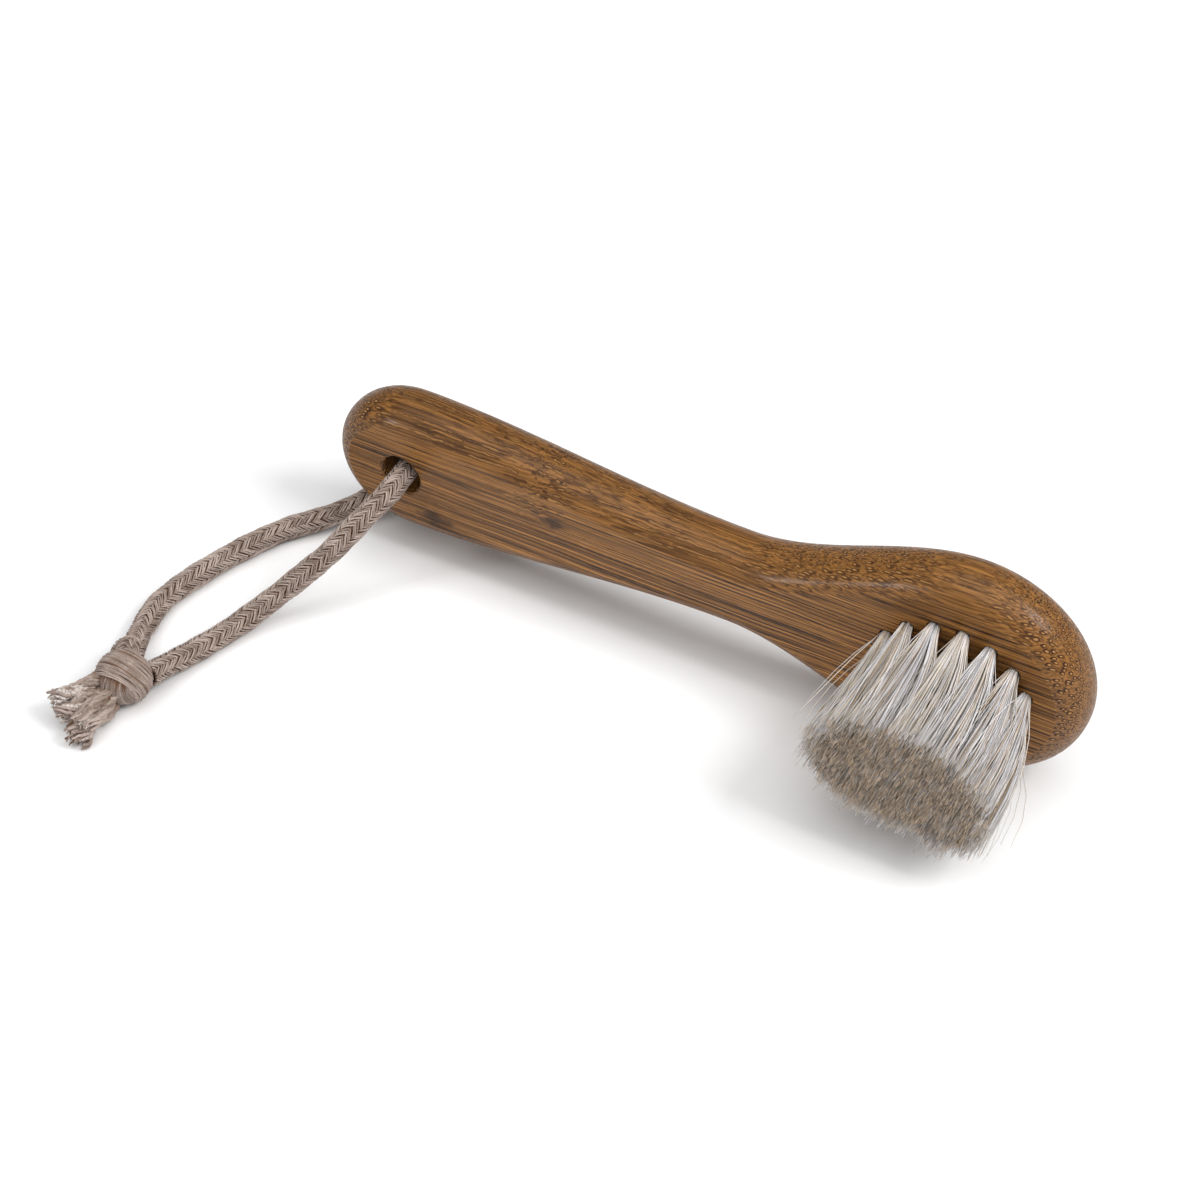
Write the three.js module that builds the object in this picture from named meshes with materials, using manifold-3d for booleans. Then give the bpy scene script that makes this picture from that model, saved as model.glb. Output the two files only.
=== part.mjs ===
// A facial brush that lies on its side: a one-piece bamboo body, hair tufts folded over wire anchors in
// blind holes of its flat face, and a knotted cotton hanging cord through the handle end.
// Millimetres, +Z up. +X runs from the handle end to the head, and the bristles point to -Y.

import * as THREE from 'three';
import { mergeVertices } from 'three/addons/utils/BufferGeometryUtils.js';
import Module from 'manifold-3d';

// Bamboo body, with places measured from the handle end
const BODY_LENGTH = 140;
const BODY_THICKNESS = 11.6;
const EDGE_RADIUS = 5.9; // round-over along both faces, more than half the thickness, so that it leaves a crease
const EDGE_FLAT = 0.4; // least straight band between the two round-overs
const GRIP_AT = 14.8; // widest place of the handle
const GRIP_WIDTH = 26.8;
const HEAD_CAP_LENGTH = 21.3; // from the head's widest place to its end
const HEAD_AT = BODY_LENGTH - HEAD_CAP_LENGTH;
const HEAD_WIDTH = 39.6;
const WAIST_TO_HEAD = 40.8; // from the narrowest place to the head's widest
const WAIST_AT = HEAD_AT - WAIST_TO_HEAD;
const WAIST_WIDTH = 16.6;

// Hang hole in the handle
const HANG_HOLE_AT = 14.7;
const HANG_HOLE_DIAMETER = 7.4;
const HANG_HOLE_ROUND = 0.8; // softened rim on both faces

// Tuft field in the flat face of the head
const TUFT_FIELD_OFFSET = 0.4; // from the head's widest place towards the handle
const TUFT_FIELD_AT = HEAD_AT - TUFT_FIELD_OFFSET;
const OUTER_RING_LENGTH = 25.6; // between tuft centres, along the body
const OUTER_RING_WIDTH = 21.2;
const OUTER_TUFTS = 15;
const INNER_TUFTS = 9;
const RING_PITCH = 4.8; // from the outer ring to the inner one
const CENTRE_PITCH = 4.8; // between the two centre tufts
const TUFT_HOLE_DIAMETER = 2.4;
const DRILL_POINT = 0.9; // cone at the bottom of a drilled hole
const BACK_WALL = 3.2; // bamboo left behind the holes

// Bristles
const TRIM_HEIGHT = 24.5; // from the face to the trimmed tips
const TUFT_FLARE_RATIO = 1.06; // spread of the tuft centres from root to tip
const TIP_SPACE = 0.16; // left between neighbouring tufts at their tips
const STRAND_RADIUS = 0.185;
const STRAND_RINGS = 2; // rings of strands round the middle one of a tuft
const BACKING_THICKNESS = 0.6; // slice of the face that the tufts of a ring share
const BACKING_RIM = 0.6; // backing beyond the tuft holes

// Wire anchors that the tufts are folded over
const ANCHOR_THICKNESS = 0.4;
const ANCHOR_HEIGHT = 1.2;
const ANCHOR_CORNER = 0.25;
const FOLD_THICKNESS = 0.6; // hair between an anchor and the bottom of its hole

// Cotton cord
const CORD_DIAMETER = 4.2;
const KNOT_LENGTH = 9.6;
const KNOT_CORE_DIAMETER = 8;
const KNOT_WRAP_DIAMETER = 9.4;
const KNOT_WRAP_THICKNESS = 3.8;
const KNOT_WRAP_TILT = 20; // degrees between the wrap's axis and the knot's
const TAIL_ROOT_DIAMETER = 3.4;
const TAIL_SPREAD_DIAMETER = 4.6; // widest place of a frayed tail
const TAIL_END_DIAMETER = 2.8;

// Distance that pieces which touch keep from each other
const CLEARANCE = 0.3;

// Facets
const CAP_STEPS = 10;
const SIDE_STEPS = 11;
const EDGE_STEPS = 5;
const RIM_STEPS = 3;
const HANG_HOLE_SIDES = 24;
const TUFT_HOLE_SIDES = 10;
const FIELD_STEPS = 18;
const CORD_SIDES = 8;
const CORD_STEP = 3; // length of cord from ring to ring
const KNOT_SIDES = 16;
const TAIL_STEPS = 4;

// The cord's route, as [along the body, across it, height above the table] from the middle of the hang
// hole. Both stretches start inside the hole and end in the knot.
const FRONT_ROUTE = [
  [0, -0.15, 17.9], [0.1, -3, 17.9], [0.3, -6.5, 17.8], [0.2, -11, 17.2], [-0.8, -15.2, 15.9],
  [-2.2, -19, 13.8], [-4, -22.6, 11.3], [-6.2, -25.7, 8.9], [-8.6, -28.9, 6.4], [-11.1, -32.8, 4.1],
  [-13.2, -37.3, 2.6], [-15, -42.6, 2.2], [-16.4, -47.6, 2.5], [-17.3, -51.6, 3.3], [-18, -56.2, 4.3],
];
const BACK_ROUTE = [
  [0, 0.15, 17.9], [0, 4, 17.9], [0, 7.6, 17.9], [-0.6, 11.5, 17], [-2.2, 14.4, 14.6], [-4.4, 15.5, 11.3],
  [-6.5, 14.4, 8], [-8.1, 11.5, 5.7], [-8.8, 7.6, 4.8], [-9.3, 3.2, 4.6], [-10.6, -0.8, 4.1],
  [-13.4, -4.9, 3.2], [-17, -9.3, 2.5], [-20.6, -13.8, 2.2], [-24.6, -23, 2.2], [-27.2, -31.8, 2.2],
  [-28.4, -39.6, 2.2], [-27.3, -45.6, 2.4], [-25.4, -50.4, 3.2], [-22.7, -55.6, 4.3],
];
const KNOT_PLACE = [-20.9, -59.2, 4.8];
const LEFT_TAIL = { root: [-24.1, -61.4, 3.6], tip: [-28.9, -70.4, 2.6] };
const RIGHT_TAIL = { root: [-20.4, -62.9, 3.4], tip: [-19.9, -73.6, 2.6] };

const BAMBOO = { color: 0x9a6a3c, roughness: 0.4, metalness: 0 };
const HAIR = { color: 0xe3dccd, roughness: 0.8, metalness: 0 };
const STEEL = { color: 0xb5b5b0, roughness: 0.35, metalness: 1 };
const COTTON = { color: 0xa89a8c, roughness: 0.95, metalness: 0 };

const QUARTER = Math.PI / 2;
const UP = new THREE.Vector3(0, 1, 0); // axis of three.js cylinders and lathes

// Solids for cutting and joining

const wasm = await Module();
wasm.setup();

function toSolid(geometry) {
  geometry.deleteAttribute('normal');
  geometry.deleteAttribute('uv');
  const merged = mergeVertices(geometry);
  const vertProperties = Float32Array.from(merged.attributes.position.array);
  const triVerts = Uint32Array.from(merged.index.array);
  return new wasm.Manifold(new wasm.Mesh({ numProp: 3, vertProperties, triVerts }));
}

function join(solids) {
  return solids.reduce((all, solid) => all.add(solid));
}

function toMesh(name, solid, look) {
  const { vertProperties, triVerts } = solid.getMesh();
  const geometry = new THREE.BufferGeometry();
  geometry.setAttribute('position', new THREE.BufferAttribute(vertProperties, 3));
  geometry.setIndex(new THREE.BufferAttribute(triVerts, 1));
  geometry.computeVertexNormals();
  const mesh = new THREE.Mesh(geometry, new THREE.MeshStandardMaterial(look));
  mesh.name = name;
  return mesh;
}

// A LatheGeometry from [radius, height] pairs that run from the bottom of the axis to its top
function turned(profile, sides) {
  return new THREE.LatheGeometry(profile.map(([radius, height]) => new THREE.Vector2(radius, height)), sides);
}

// Tufts. In the body's own frame x runs along it, y across it and z out of the bristle face, at z = 0.

function ringOf(inset) {
  return { x: OUTER_RING_LENGTH / 2 - inset, y: OUTER_RING_WIDTH / 2 - inset };
}

// Evenly spaced places on an oval ring, the first a share of one pitch from its head end
function placesOn(ring, count, share) {
  const oval = new THREE.EllipseCurve(0, 0, ring.x, ring.y, 0, 2 * Math.PI, false, 0);
  return Array.from({ length: count }, (_, i) => oval.getPointAt((i + share) / count));
}

const tufts = {
  outer: placesOn(ringOf(0), OUTER_TUFTS, 0.5),
  inner: placesOn(ringOf(RING_PITCH), INNER_TUFTS, 0),
  centre: [new THREE.Vector2(CENTRE_PITCH / 2, 0), new THREE.Vector2(-CENTRE_PITCH / 2, 0)],
};
const everyTuft = [...tufts.outer, ...tufts.inner, ...tufts.centre];

function closestPitch(places) {
  const pitches = places.flatMap((place, i) => places.slice(i + 1).map((other) => place.distanceTo(other)));
  return Math.min(...pitches);
}

const holeDepth = BODY_THICKNESS - BACK_WALL - DRILL_POINT;
const plugRadius = TUFT_HOLE_DIAMETER / 2 - CLEARANCE;
const plugBottom = CLEARANCE - holeDepth;
const anchorMiddle = plugBottom + FOLD_THICKNESS + CLEARANCE + ANCHOR_HEIGHT / 2;
const pocketFloor = -(BACKING_THICKNESS + CLEARANCE);
const strandRootPitch = (plugRadius - STRAND_RADIUS) / STRAND_RINGS;
const tipRadius = (closestPitch(everyTuft) * TUFT_FLARE_RATIO - TIP_SPACE) / 2;
const strandTipPitch = (tipRadius - STRAND_RADIUS) / STRAND_RINGS;

// A hexagon of strand places round the middle of a tuft, one pitch apart
function strandPlaces() {
  const places = [new THREE.Vector2(0, 0)];
  for (let ring = 1; ring <= STRAND_RINGS; ring++) {
    for (let corner = 0; corner < 6; corner++) {
      const from = new THREE.Vector2(ring, 0).rotateAround(places[0], (corner * Math.PI) / 3);
      const to = new THREE.Vector2(ring, 0).rotateAround(places[0], ((corner + 1) * Math.PI) / 3);
      for (let step = 0; step < ring; step++) places.push(from.clone().lerp(to, step / ring));
    }
  }
  return places;
}

function strand(root, tip) {
  const along = tip.clone().sub(root);
  const geometry = new THREE.CylinderGeometry(STRAND_RADIUS, STRAND_RADIUS, along.length(), 3);
  geometry.applyQuaternion(new THREE.Quaternion().setFromUnitVectors(UP, along.clone().normalize()));
  const middle = root.clone().add(tip).divideScalar(2);
  return toSolid(geometry.translate(middle.x, middle.y, middle.z));
}

// One tuft: strands that spread towards the tips, over the hair that is folded into its hole
function tuft(place) {
  const rootHeight = -BACKING_THICKNESS / 2;
  const strands = strandPlaces().map((offset) => {
    const root = place.clone().addScaledVector(offset, strandRootPitch);
    const tip = place.clone().multiplyScalar(TUFT_FLARE_RATIO).addScaledVector(offset, strandTipPitch);
    return strand(new THREE.Vector3(root.x, root.y, rootHeight), new THREE.Vector3(tip.x, tip.y, TRIM_HEIGHT));
  });
  const plug = new THREE.CylinderGeometry(plugRadius, plugRadius, rootHeight - plugBottom, TUFT_HOLE_SIDES);
  plug.rotateX(QUARTER).translate(place.x, place.y, (rootHeight + plugBottom) / 2);
  return [toSolid(plug), ...strands];
}

// The way through a tuft's fold that its anchor lies in
function anchorWay(place) {
  const thickness = ANCHOR_THICKNESS + 2 * CLEARANCE;
  const geometry = new THREE.BoxGeometry(thickness, TUFT_HOLE_DIAMETER, ANCHOR_HEIGHT + 2 * CLEARANCE);
  return toSolid(geometry.translate(place.x, place.y, anchorMiddle));
}

function oval(size) {
  return new THREE.Path().absellipse(0, 0, size.x, size.y, 0, 2 * Math.PI, false, 0);
}

function ovalSlab(outer, inner, bottom, top) {
  const shape = new THREE.Shape(oval(outer).getPoints(FIELD_STEPS));
  if (inner) shape.holes.push(new THREE.Path(oval(inner).getPoints(FIELD_STEPS)));
  const slab = new THREE.ExtrudeGeometry(shape, { depth: top - bottom, bevelEnabled: false });
  return slab.translate(0, 0, bottom);
}

const fieldInset = -(TUFT_HOLE_DIAMETER / 2 + BACKING_RIM);

// The tufts of one ring, fused to the slice of the face between two ovals
function tuftRing(name, places, outerInset, innerInset) {
  const inner = innerInset === null ? null : ringOf(innerInset - CLEARANCE / 2);
  const backing = ovalSlab(ringOf(outerInset + CLEARANCE / 2), inner, -BACKING_THICKNESS, 0);
  const ring = join([toSolid(backing), ...places.flatMap(tuft)]).subtract(join(places.map(anchorWay)));
  return toMesh(name, ring, HAIR);
}

// A short strip of flat wire with clipped corners, across the grain
function tuftAnchor(name, place) {
  const end = plugRadius;
  const top = ANCHOR_HEIGHT / 2;
  const clipped = [end - ANCHOR_CORNER, top - ANCHOR_CORNER];
  const right = [[clipped[0], -top], [end, -clipped[1]], [end, clipped[1]], [clipped[0], top]];
  const left = right.map(([across, up]) => [-across, -up]);
  const shape = new THREE.Shape([...right, ...left].map(([across, up]) => new THREE.Vector2(across, up)));
  const strip = new THREE.ExtrudeGeometry(shape, { depth: ANCHOR_THICKNESS, bevelEnabled: false });
  strip.translate(0, 0, -ANCHOR_THICKNESS / 2).rotateX(QUARTER).rotateZ(QUARTER);
  return toMesh(name, toSolid(strip.translate(place.x, place.y, anchorMiddle)), STEEL);
}

// Bamboo body

function ease(share) {
  return share * share * (3 - 2 * share);
}

// Half of the outline from the handle end to the head end: a round cap, the waist's two easy curves, a cap
function upperSide() {
  const points = [[0, 0]];
  for (let i = 1; i <= CAP_STEPS; i++) {
    const turn = (i / CAP_STEPS) * QUARTER;
    points.push([GRIP_AT * (1 - Math.cos(turn)), (GRIP_WIDTH / 2) * Math.sin(turn)]);
  }
  const waist = [[GRIP_AT, GRIP_WIDTH, WAIST_AT, WAIST_WIDTH], [WAIST_AT, WAIST_WIDTH, HEAD_AT, HEAD_WIDTH]];
  for (const [from, fromWidth, to, toWidth] of waist) {
    for (let i = 1; i <= SIDE_STEPS; i++) {
      const share = i / SIDE_STEPS;
      points.push([from + (to - from) * share, (fromWidth + (toWidth - fromWidth) * ease(share)) / 2]);
    }
  }
  for (let i = 1; i < CAP_STEPS; i++) {
    const turn = (i / CAP_STEPS) * QUARTER;
    points.push([HEAD_AT + (BODY_LENGTH - HEAD_AT) * Math.sin(turn), (HEAD_WIDTH / 2) * Math.cos(turn)]);
  }
  return [...points, [BODY_LENGTH, 0]];
}

// Rounded over all round, then planed to its thickness, which leaves a crease along the edge of each face
function bodyBlank() {
  const upper = upperSide();
  const lower = upper.slice(1, -1).reverse().map(([x, y]) => [x, -y]);
  const outline = new THREE.Shape([...upper, ...lower].map(([x, y]) => new THREE.Vector2(x, y)));
  const band = Math.max(EDGE_FLAT, BODY_THICKNESS - 2 * EDGE_RADIUS);
  const geometry = new THREE.ExtrudeGeometry(outline, {
    depth: band,
    bevelThickness: EDGE_RADIUS,
    bevelSize: EDGE_RADIUS,
    bevelOffset: -EDGE_RADIUS,
    bevelSegments: EDGE_STEPS,
  });
  const blank = toSolid(geometry.translate(0, 0, -(BODY_THICKNESS + band) / 2));
  return blank.trimByPlane([0, 0, -1], 0).trimByPlane([0, 0, 1], -BODY_THICKNESS);
}

// A drill with a rounding cutter at each face
function hangHoleCutter() {
  const radius = HANG_HOLE_DIAMETER / 2;
  const face = BODY_THICKNESS / 2;
  const upper = [];
  for (let i = 0; i <= RIM_STEPS; i++) {
    const turn = (i / RIM_STEPS) * QUARTER;
    const rim = 1 - Math.cos(turn);
    upper.push([radius + HANG_HOLE_ROUND * rim, face - HANG_HOLE_ROUND * (1 - Math.sin(turn))]);
  }
  upper.push([radius + HANG_HOLE_ROUND, face + HANG_HOLE_ROUND], [0, face + HANG_HOLE_ROUND]);
  const lower = upper.map(([r, height]) => [r, -height]).reverse();
  const geometry = turned([...lower, ...upper], HANG_HOLE_SIDES).rotateX(QUARTER);
  return toSolid(geometry.translate(HANG_HOLE_AT, 0, -face));
}

function tuftDrill(place) {
  const radius = TUFT_HOLE_DIAMETER / 2;
  const profile = [[0, -holeDepth - DRILL_POINT], [radius, -holeDepth], [radius, 0], [0, 0]];
  const geometry = turned(profile, TUFT_HOLE_SIDES).rotateX(QUARTER);
  return toSolid(geometry.translate(place.x + TUFT_FIELD_AT, place.y, 0));
}

function bambooBody() {
  const pocket = ovalSlab(ringOf(fieldInset), null, pocketFloor, CLEARANCE).translate(TUFT_FIELD_AT, 0, 0);
  const cutters = [hangHoleCutter(), toSolid(pocket), ...everyTuft.map(tuftDrill)];
  return toMesh('bamboo_body', bodyBlank().subtract(join(cutters)), BAMBOO);
}

// Cotton cord

function vectors(points) {
  return points.map((point) => new THREE.Vector3(...point));
}

function cordTube(points, diameter) {
  const section = new THREE.Shape();
  for (let i = 0; i < CORD_SIDES; i++) {
    const turn = (i / CORD_SIDES) * 2 * Math.PI;
    const corner = [(diameter / 2) * Math.cos(turn), (diameter / 2) * Math.sin(turn)];
    if (i === 0) section.moveTo(...corner);
    else section.lineTo(...corner);
  }
  const extrudePath = new THREE.CatmullRomCurve3(vectors(points));
  const steps = Math.round(extrudePath.getLength() / CORD_STEP);
  return toSolid(new THREE.ExtrudeGeometry(section, { steps, extrudePath }));
}

// The way that a stretch of cord takes into the knot
function cordWay(points) {
  const [before, end] = vectors(points.slice(-2));
  const past = end.clone().addScaledVector(end.clone().sub(before).normalize(), CLEARANCE);
  return cordTube([...points, past.toArray()], CORD_DIAMETER + 2 * CLEARANCE);
}

// A cut end of the cord, which opens out towards its frayed tip
function tailSolid({ root, tip }, grown) {
  const [from, to] = vectors([root, tip]);
  const along = to.clone().sub(from);
  const length = along.length();
  const spreadAt = length - (TAIL_SPREAD_DIAMETER - TAIL_END_DIAMETER) / 2;
  const profile = [[0, -grown], [TAIL_ROOT_DIAMETER / 2 + grown, -grown]];
  for (let i = 1; i <= TAIL_STEPS; i++) {
    const share = i / TAIL_STEPS;
    const diameter = TAIL_ROOT_DIAMETER + (TAIL_SPREAD_DIAMETER - TAIL_ROOT_DIAMETER) * ease(share);
    profile.push([diameter / 2 + grown, spreadAt * share]);
  }
  profile.push([TAIL_END_DIAMETER / 2 + grown, length + grown], [0, length + grown]);
  const geometry = turned(profile, CORD_SIDES);
  geometry.applyQuaternion(new THREE.Quaternion().setFromUnitVectors(UP, along.normalize()));
  return toSolid(geometry.translate(from.x, from.y, from.z));
}

// A pulled-tight knot: a bundle of cord along its axis and one turn wrapped round it
function knotSolid() {
  const bundle = new THREE.SphereGeometry(0.5, KNOT_SIDES, KNOT_SIDES / 2);
  bundle.scale(KNOT_CORE_DIAMETER, KNOT_LENGTH, KNOT_CORE_DIAMETER);
  const wrapRadius = (KNOT_WRAP_DIAMETER - KNOT_WRAP_THICKNESS) / 2;
  const wrap = new THREE.TorusGeometry(wrapRadius, KNOT_WRAP_THICKNESS / 2, KNOT_SIDES / 2, KNOT_SIDES);
  wrap.rotateX(QUARTER).rotateZ(THREE.MathUtils.degToRad(KNOT_WRAP_TILT));
  const [front, back] = vectors([FRONT_ROUTE.at(-1), BACK_ROUTE.at(-1)]);
  const [left, right] = vectors([LEFT_TAIL.root, RIGHT_TAIL.root]);
  const axis = left.add(right).sub(front).sub(back).setZ(0).normalize();
  const lie = new THREE.Quaternion().setFromUnitVectors(UP, axis);
  const tied = [bundle, wrap].map((turn) => toSolid(turn.applyQuaternion(lie).translate(...KNOT_PLACE)));
  const ways = [cordWay(FRONT_ROUTE), cordWay(BACK_ROUTE)];
  ways.push(tailSolid(LEFT_TAIL, CLEARANCE), tailSolid(RIGHT_TAIL, CLEARANCE));
  return join(tied).subtract(join(ways));
}

// Assembly: the brush stands on the edge of its head and on the cord under its handle end

const tuftField = new THREE.Group();
tuftField.position.x = TUFT_FIELD_AT;
const betweenRings = RING_PITCH / 2;
const insideInner = RING_PITCH + RING_PITCH / 2;
tuftField.add(tuftRing('outer_tuft_ring', tufts.outer, fieldInset, betweenRings));
tuftField.add(tuftRing('inner_tuft_ring', tufts.inner, betweenRings, insideInner));
tuftField.add(tuftRing('centre_tufts', tufts.centre, insideInner, null));
everyTuft.forEach((place, i) => {
  tuftField.add(tuftAnchor(`tuft_anchor_${String(i + 1).padStart(2, '0')}`, place));
});

const onEdge = new THREE.Group();
onEdge.rotation.x = QUARTER;
onEdge.add(bambooBody(), tuftField);

const gripLift = CORD_DIAMETER + CLEARANCE;
const brush = new THREE.Group();
brush.rotation.y = -Math.asin((HEAD_WIDTH / 2 - GRIP_WIDTH / 2 - gripLift) / (HEAD_AT - GRIP_AT));
brush.add(onEdge);
const extent = new THREE.Box3().setFromObject(brush, true);
const middle = extent.getCenter(new THREE.Vector3());
brush.position.set(-middle.x, -middle.y, -extent.min.z);
brush.updateMatrixWorld(true);

const cord = new THREE.Group();
const holeMiddle = onEdge.localToWorld(new THREE.Vector3(HANG_HOLE_AT, 0, -BODY_THICKNESS / 2));
cord.position.set(holeMiddle.x, holeMiddle.y, 0);
cord.add(
  toMesh('cord_front_strand', cordTube(FRONT_ROUTE, CORD_DIAMETER), COTTON),
  toMesh('cord_back_strand', cordTube(BACK_ROUTE, CORD_DIAMETER), COTTON),
  toMesh('cord_knot', knotSolid(), COTTON),
  toMesh('cord_tail_left', tailSolid(LEFT_TAIL, 0), COTTON),
  toMesh('cord_tail_right', tailSolid(RIGHT_TAIL, 0), COTTON),
);

const facialBrush = new THREE.Group();
facialBrush.add(brush, cord);

export default facialBrush;
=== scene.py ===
import math

import bpy
import numpy as np
from mathutils import Matrix, Vector
from mathutils.geometry import tessellate_polygon


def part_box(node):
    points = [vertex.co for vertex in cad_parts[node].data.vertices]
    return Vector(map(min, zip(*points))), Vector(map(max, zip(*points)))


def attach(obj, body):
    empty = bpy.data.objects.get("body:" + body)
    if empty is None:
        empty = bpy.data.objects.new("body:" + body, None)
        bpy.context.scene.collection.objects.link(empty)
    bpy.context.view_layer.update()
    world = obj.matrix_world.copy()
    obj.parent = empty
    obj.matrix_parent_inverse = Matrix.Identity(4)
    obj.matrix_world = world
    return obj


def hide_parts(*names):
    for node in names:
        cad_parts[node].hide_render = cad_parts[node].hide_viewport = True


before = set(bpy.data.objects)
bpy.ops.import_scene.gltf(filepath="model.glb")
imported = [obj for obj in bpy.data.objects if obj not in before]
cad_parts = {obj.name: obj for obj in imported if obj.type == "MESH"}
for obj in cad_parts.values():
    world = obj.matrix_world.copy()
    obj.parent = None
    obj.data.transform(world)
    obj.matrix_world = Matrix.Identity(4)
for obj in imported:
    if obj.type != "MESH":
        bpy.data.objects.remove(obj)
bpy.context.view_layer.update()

# Table, lamps and camera
# The brush lies on its side on a plain white table, under soft studio lamps. The camera looks down on
# it from the front right through a short telephoto lens. None of this belongs to the brush.
MM = 0.001
CAMERA_PLACE = (140.475, -260.413, 306.95)
CAMERA_AZIMUTH = 30.304
CAMERA_ELEVATION = 44.129
CAMERA_ROLL = -0.359
CAMERA_LENS = 75.93
CAMERA_SENSOR = 36
TABLE_SIZE = 24.0
TABLE_WHITE = (0.93, 0.93, 0.93, 1)
TABLE_MOTTLE = (0.91, 0.91, 0.91, 1)
LAMP_AIM = Vector((0.0, 0.0, 0.015))
CEILING_TOWARDS = (0.1, -0.2, 1.0)  # a white ceiling, lit so evenly that the whole table is pale
CEILING_SPREAD = 70.0
CEILING_BRIGHTNESS = 0.66
ROOM_TINT = (0.95, 0.97, 1.0, 1)
ROOM_BRIGHTNESS = 0.16

camera = bpy.data.objects.new("camera", bpy.data.cameras.new("camera"))
camera.data.sensor_width = CAMERA_SENSOR
camera.data.lens = CAMERA_LENS
camera.data.clip_start = 0.01
camera.matrix_world = (
    Matrix.Translation(Vector(CAMERA_PLACE) * MM)
    @ Matrix.Rotation(math.radians(CAMERA_AZIMUTH), 4, "Z")
    @ Matrix.Rotation(math.radians(90 - CAMERA_ELEVATION), 4, "X")
    @ Matrix.Rotation(math.radians(CAMERA_ROLL), 4, "Z")
)
scene = bpy.context.scene
scene.collection.objects.link(camera)
scene.camera = camera
scene.view_settings.view_transform = "Standard"


def softbox(name, towards, distance, size, brightness):
    """A square lamp. Brightness 1 shows a white sheet that faces it as white."""
    lamp = bpy.data.objects.new(name, bpy.data.lights.new(name, "AREA"))
    lamp.data.shape = "SQUARE"
    lamp.data.size = size
    lamp.data.energy = brightness * math.pi**2 * distance**2
    away = Vector(towards).normalized()
    turned = away.to_track_quat("Z", "Y").to_matrix().to_4x4()
    lamp.matrix_world = Matrix.Translation(LAMP_AIM + away * distance) @ turned
    scene.collection.objects.link(lamp)


softbox("lamp_right", towards=(0.66, 0.06, 0.74), distance=0.9, size=0.36, brightness=0.62)
softbox("lamp_left", towards=(-0.6, -0.7, 0.32), distance=0.9, size=0.16, brightness=0.2)
ceiling = bpy.data.objects.new("ceiling", bpy.data.lights.new("ceiling", "SUN"))
ceiling.data.angle = math.radians(CEILING_SPREAD)
ceiling.data.energy = CEILING_BRIGHTNESS * math.pi
ceiling.matrix_world = Vector(CEILING_TOWARDS).to_track_quat("Z", "Y").to_matrix().to_4x4()
scene.collection.objects.link(ceiling)

world = bpy.data.worlds.new("studio")
world.use_nodes = True
room_light = world.node_tree.nodes["Background"]
room_light.inputs["Color"].default_value = ROOM_TINT
room_light.inputs["Strength"].default_value = ROOM_BRIGHTNESS
scene.world = world


class Shade:
    """A value or colour in a material. Python's operators on it add Math nodes."""

    def __init__(self, tree, socket=None):
        self.tree = tree
        self.socket = socket

    def node(self, kind, settings, inputs, output=0):
        """Adds a node, sets it, feeds its inputs by name or number and gives one of its outputs."""
        added = self.tree.nodes.new("ShaderNode" + kind)
        for name, value in settings.items():
            setattr(added, name, value)
        for name, value in inputs.items():
            if isinstance(value, Shade):
                self.tree.links.new(value.socket, added.inputs[name])
            else:
                added.inputs[name].default_value = value
        return Shade(self.tree, added.outputs[output])

    def output(self, name):
        """Another output of the same node."""
        return Shade(self.tree, self.socket.node.outputs[name])

    def split(self):
        """The three parts of a vector or colour."""
        parts = self.node("SeparateXYZ", {}, {"Vector": self})
        return [parts.output(axis) for axis in "XYZ"]

    def math(self, operation, *values):
        """A Math node on values and shades."""
        return self.node("Math", {"operation": operation}, dict(enumerate(values)))

    def __add__(self, other):
        return self.math("ADD", self, other)

    def __radd__(self, other):
        return self.math("ADD", other, self)

    def __sub__(self, other):
        return self.math("SUBTRACT", self, other)

    def __rsub__(self, other):
        return self.math("SUBTRACT", other, self)

    def __mul__(self, other):
        return self.math("MULTIPLY", self, other)

    def __rmul__(self, other):
        return self.math("MULTIPLY", other, self)

    def step(self, low, high):
        """0 below low, 1 above high and a soft rise between them."""
        settings = {"interpolation_type": "SMOOTHSTEP"}
        return self.node("MapRange", settings, {"Value": self, "From Min": low, "From Max": high})

    def between(self, low, high):
        """A colour that goes from low to high as this value goes from 0 to 1."""
        return self.node("Mix", {"data_type": "RGBA"}, {0: self, 6: low, 7: high}, 2)


def new_material(name, **constants):
    """A material with one Principled shader, its constants set, and a Shade to build its nodes from."""
    material = bpy.data.materials.new(name)
    material.use_nodes = True
    surface = material.node_tree.nodes["Principled BSDF"]
    for socket, value in constants.items():
        surface.inputs[socket.replace("_", " ")].default_value = value
    return material, surface, Shade(material.node_tree)


def rgb(red, green, blue):
    """A colour from its 0 to 255 screen values."""
    linear = [((c / 255 + 0.055) / 1.055) ** 2.4 for c in (red, green, blue)]
    return (*linear, 1)


def feed(surface, socket, shade):
    """Links a shade to a socket of a material's shader."""
    shade.tree.links.new(shade.socket, surface.inputs[socket])


def new_mesh(name, points, face_sets, material, place):
    """An object at the origin from points in metres, moved to a place, and arrays of like faces."""
    mesh = bpy.data.meshes.new(name)
    points = np.asarray(points) @ np.array(place.to_3x3()).T + np.array(place.translation)
    corners = np.concatenate([faces.ravel() for faces in face_sets])
    sizes = np.concatenate([np.full(len(faces), faces.shape[1]) for faces in face_sets])
    starts = np.concatenate([[0], np.cumsum(sizes)[:-1]])
    mesh.vertices.add(len(points))
    mesh.vertices.foreach_set("co", points.astype(np.float32).ravel())
    mesh.loops.add(len(corners))
    mesh.loops.foreach_set("vertex_index", corners.astype(np.int32))
    mesh.polygons.add(len(sizes))
    mesh.polygons.foreach_set("loop_start", starts.astype(np.int32))
    mesh.update(calc_edges=True)
    mesh.validate()
    mesh.shade_smooth()
    mesh.materials.append(material)
    piece = bpy.data.objects.new(name, mesh)
    scene.collection.objects.link(piece)
    return piece


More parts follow.
